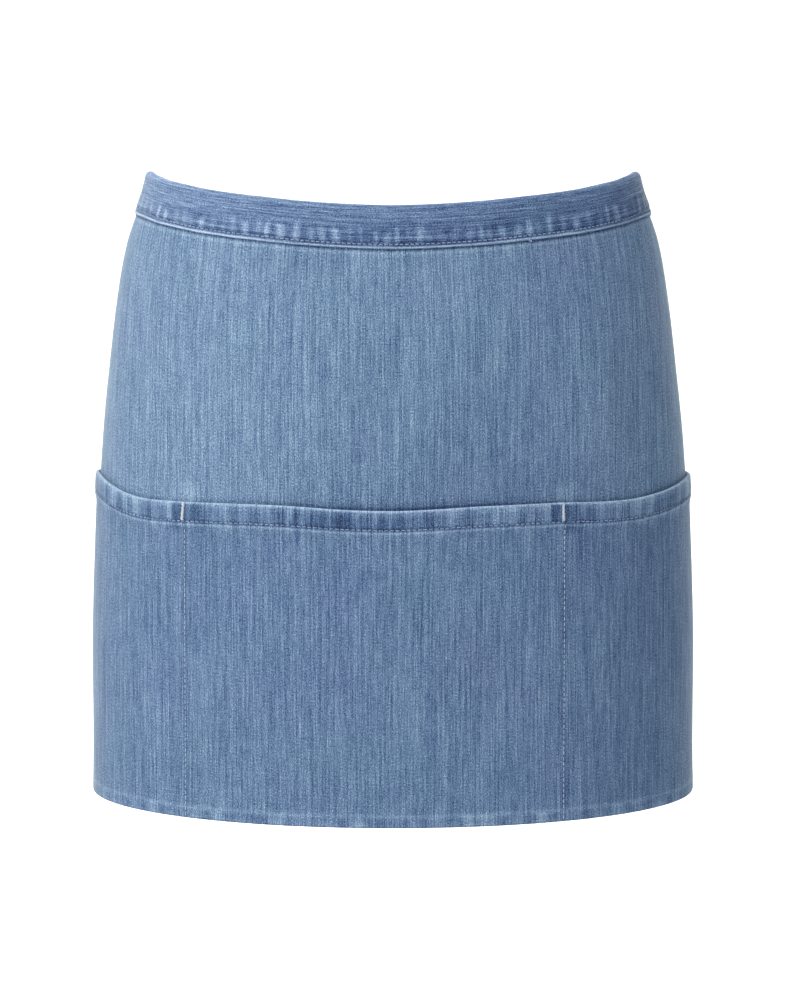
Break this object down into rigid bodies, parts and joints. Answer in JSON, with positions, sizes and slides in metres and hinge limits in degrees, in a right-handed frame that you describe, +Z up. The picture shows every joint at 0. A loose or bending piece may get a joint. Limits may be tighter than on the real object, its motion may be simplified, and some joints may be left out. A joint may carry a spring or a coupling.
{
  "type": "waist apron",
  "caption": "Short denim waist apron with pockets across the lower half, shaped as tied round the hips, with ties knotted at the back.",
  "frame": {"origin": "the middle of the waist opening, level with the waistband's top edge at the front", "axes": "+X to the right as seen from the front, +Y to the wearer's back, +Z up along the wearer"},
  "size_m": [0.3308, 0.2301, 0.3402],
  "materials": {
    "panel_denim": "washed blue denim",
    "pocket_denim": "washed blue denim",
    "band_denim": "washed blue denim, abraded edges",
    "tie_denim": "washed blue denim",
    "thread": "white bar tack thread"
  },
  "bodies": {
    "root": {"front_panel": "panel_denim", "pocket_panel": "pocket_denim", "waistband": "band_denim", "bar_tack_left": "thread", "bar_tack_right": "thread", "tie_left": "tie_denim", "tie_right": "tie_denim", "tie_knot": "tie_denim", "tie_tail_left": "tie_denim", "tie_tail_right": "tie_denim"}
  },
  "joints": []
}
